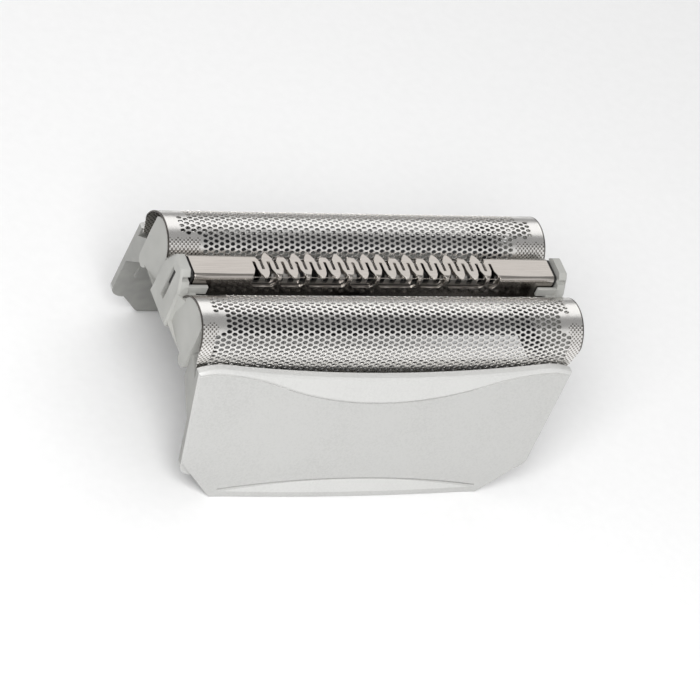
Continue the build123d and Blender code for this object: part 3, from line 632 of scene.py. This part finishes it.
def settle(source, name, replaced):
    """Turns an object with modifiers into a plain mesh piece that stands for a CAD node."""
    bpy.context.view_layer.update()
    graph = bpy.context.evaluated_depsgraph_get()
    mesh = bpy.data.meshes.new_from_object(source.evaluated_get(graph))
    mesh.name = name
    piece = bpy.data.objects.new(name, mesh)
    bpy.data.objects.remove(source)
    bpy.context.scene.collection.objects.link(piece)
    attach(piece, body_of_node[replaced])
    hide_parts(replaced)
    triangles = sum(len(p.vertices) - 2 for p in mesh.polygons)
    print(name, "triangles", triangles)
    return piece


foil_sizes = {
    "Half Length": 21.0,
    "Radius": 3.28,
    "Inner Flank": 2.2,
    "Outer Flank": 3.2,
    "Axis Y": 5.55,
    "Axis Z": 16.7,
    "Finish": nickel,
}
sockets = {s.name: s.identifier for s in foil_tree.interface.items_tree if s.in_out == "INPUT"}
for name, side in (("front_foil", -1.0), ("rear_foil", 1.0)):
    blank = bpy.data.objects.new(name + "_sheet", bpy.data.meshes.new(name + "_sheet"))
    bpy.context.scene.collection.objects.link(blank)
    roller = blank.modifiers.new("roll", "NODES")
    roller.node_group = foil_tree
    for socket, value in foil_sizes.items():
        roller[sockets[socket]] = value
    roller[sockets["Side"]] = side
    wall = blank.modifiers.new("sheet", "SOLIDIFY")
    wall.thickness = 0.14 * MM
    wall.offset = -1.0
    wall.material_offset = 1
    blank.data.materials.append(nickel)
    blank.data.materials.append(dull_nickel)
    foil = settle(blank, "perforated_" + name, name)
    foil.data.shade_smooth()
    foil.data.set_sharp_from_angle(angle=math.radians(40))
for cell in (open_hexagon, plain_hexagon):
    bpy.data.objects.remove(cell)

# %% [markdown]
# Real edges are never perfectly sharp. Moulded, ground and folded edges all have a small radius that
# catches a line of light. A merged copy of each such CAD piece gets a narrow bevel and stands for it.

# %% Round the edges
def soften(name, width, angle):
    """Copy of a CAD piece with narrow rounded edges, which stands for it."""
    copy = bpy.data.meshes.new(name + "_copy")
    work = bmesh.new()
    work.from_mesh(frame["nodes"][name].data)
    bmesh.ops.remove_doubles(work, verts=work.verts, dist=0.0005 * MM)
    bmesh.ops.dissolve_limit(
        work, angle_limit=math.radians(0.4), verts=work.verts, edges=work.edges, delimit={"NORMAL"}
    )
    work.to_mesh(copy)
    work.free()
    copy.shade_smooth()
    blank = bpy.data.objects.new(name + "_copy", copy)
    bpy.context.scene.collection.objects.link(blank)
    bevel = blank.modifiers.new("edges", "BEVEL")
    bevel.width = width * MM
    bevel.segments = 2
    bevel.limit_method = "ANGLE"
    bevel.angle_limit = math.radians(angle)
    # Large flat faces keep their own normals, so that only the rounded edges shade round
    blank.modifiers.new("even_shading", "WEIGHTED_NORMAL")
    piece = settle(blank, "soft_" + name, name)
    piece.data.materials.clear()
    piece.data.materials.append(finishes[name])
    return piece


softened = {}
for name, width in (
    ("outer_frame", 0.06),
    ("end_plate_left", 0.06),
    ("end_plate_right", 0.06),
    ("trimmer_comb", 0.03),
    ("trimmer_carrier", 0.04),
):
    softened[name] = soften(name, width, 30)

# %% [markdown]
# Two small coil springs hold the trimmer up. They stand on the head, and when the trimmer is pressed
# down they shorten by its travel, with their lower turns at rest. A copy of each coil is rounded from
# the square wire of the solid model and stands for it.

# %% Round the lift springs
for name in ("lift_spring_left", "lift_spring_right"):
    coil = frame["nodes"][name].data.copy()
    blank = bpy.data.objects.new(name + "_copy", coil)
    bpy.context.scene.collection.objects.link(blank)
    wire = blank.modifiers.new("weld", "WELD")
    wire.merge_threshold = 0.0005 * MM
    blank.modifiers.new("round_wire", "SUBSURF").levels = 1
    spring = settle(blank, "coil_" + name, name)
    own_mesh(spring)

# %% [markdown]
# On the frame, each face between the insides of the two panels gets the darker inside grey, painted
# shade. The panels lean out towards the bottom, so the limit depends on the height of the face.
# Outside, the band above the upper crease and the lip below the lower one came from a polished part
# of the mould; they get the lighter lacquer, painted light for how they tilt up towards the lamps.

# %% Give each frame face its finish
panel_top_y, panel_top_z, panel_wall = 9.93, 15.2, 0.85
flare = math.tan(math.radians(11.2))
band_low_z = 13.4
lip_high_z = 2.2
lip_tilt = (0.23, 0.26)
frame_mesh = softened["outer_frame"].data
# Slot 1 is the inside grey painted as shade, slot 2 the band lacquer painted lighter as light
frame_mesh.materials.append(inside_shade_plastic)
frame_mesh.materials.append(band_lacquer_painted_lighter)
for face in frame_mesh.polygons:
    _, y, z = face.center / MM
    inside_y = panel_top_y - panel_wall + (panel_top_z - max(z, 1.0)) * flare
    in_lip = z < lip_high_z and lip_tilt[0] < face.normal.z < lip_tilt[1]
    if abs(y) < inside_y + 0.05:
        face.material_index = 1
    elif z > band_low_z or in_lip:
        face.material_index = 2
print("bare faces", sum(face.material_index == 1 for face in frame_mesh.polygons))

# %% [markdown]
# The studio: a pale paper floor, a key light above the front left corner that models the panels and
# the left end, a wide dimmer light behind and above, and a faint one low in front. Polished nickel
# mirrors what stands around it: the rear light whitens the crowns of the foils, the front light and
# the floor their lower flanks, and the unlit gap between leaves the grey band along each foil.

# %% Floor and lights
floor_mesh = bpy.data.meshes.new("studio_floor")
floor_mesh.from_pydata([(-2, -2, 0), (2, -2, 0), (2, 2, 0), (-2, 2, 0)], [], [(0, 1, 2, 3)])
floor = bpy.data.objects.new("studio_floor", floor_mesh)
bpy.context.scene.collection.objects.link(floor)
paper, tree, shader = new_material("pale_paper")
place = node(tree, "ShaderNodeTexCoord").outputs["Object"]
# Paper fibres make faint specks, drawn about 1 mm wide
specks_per_metre = 900.0
fibre = node(tree, "ShaderNodeTexNoise", {"Vector": place, "Scale": specks_per_metre})
pale = node(tree, "ShaderNodeValToRGB", {"Fac": fibre.outputs["Fac"]})
pale.color_ramp.elements[0].color = linear("#EFEFEF")
pale.color_ramp.elements[1].color = linear("#F4F4F4")
tree.links.new(pale.outputs["Color"], shader.inputs["Base Color"])
shader.inputs["Roughness"].default_value = 0.9
floor_mesh.materials.append(paper)


def soft_light(name, place, target, size, power):
    """Rectangular area light at a place in mm, aimed at a target in mm."""
    data = bpy.data.lights.new(name, "AREA")
    data.shape = "RECTANGLE"
    data.size, data.size_y = size[0] * MM, size[1] * MM
    data.energy = power
    lamp = bpy.data.objects.new(name, data)
    lamp.location = Vector(place) * MM
    aim = (Vector(target) - Vector(place)).to_track_quat("-Z", "Y")
    lamp.rotation_euler = aim.to_euler()
    bpy.context.scene.collection.objects.link(lamp)


soft_light("rear", (120, 215, 260), (0, 0, 15), (420, 300), 0.34)
soft_light("key", (-160, -190, 270), (0, 0, 12), (260, 200), 1.32)
soft_light("front", (185, -280, 145), (0, 0, 12), (320, 280), 0.15)
world = bpy.data.worlds.new("studio")
world.use_nodes = True
world.node_tree.nodes["Background"].inputs["Color"].default_value = linear("#FFFFFF")
world.node_tree.nodes["Background"].inputs["Strength"].default_value = 0.32
bpy.context.scene.world = world
bpy.context.scene.view_settings.view_transform = "Standard"

# %% [markdown]
# The camera stands where the photographer's did: in front of the left corner, 41 degrees up, rolled
# so that the head's long side lies level in the picture. A long lens from 400 mm keeps the
# perspective gentle.

# %% Camera
azimuth, elevation, roll = (math.radians(a) for a in (-38.829, 41.045, 27.816))
level = Vector((math.cos(azimuth), math.sin(azimuth), 0))
ahead = Vector((-math.sin(azimuth), math.cos(azimuth), 0))
back = Vector((0, 0, math.sin(elevation))) - math.cos(elevation) * ahead
upright = back.cross(level)
right = math.cos(roll) * level + math.sin(roll) * upright
up = math.cos(roll) * upright - math.sin(roll) * level
picture_px, focal_px, sensor_mm, distance_mm = 700, 4084.4, 36.0, 400
# The middle of the picture lies a little left of and below the height of the foils' axes
target = (-1.33 * right - 6.075 * up + Vector((0, 0, foil_sizes["Axis Z"]))) * MM
camera_data = bpy.data.cameras.new("camera")
camera_data.sensor_width = sensor_mm
camera_data.lens = focal_px / picture_px * sensor_mm
camera_data.clip_start = 0.01
camera = bpy.data.objects.new("camera", camera_data)
turn = Matrix((right, up, back)).transposed()
camera.matrix_world = Matrix.Translation(target + distance_mm * MM * back) @ turn.to_4x4()
bpy.context.scene.collection.objects.link(camera)
bpy.context.scene.camera = camera
print("camera at mm", [round(c / MM, 1) for c in camera.matrix_world.translation])
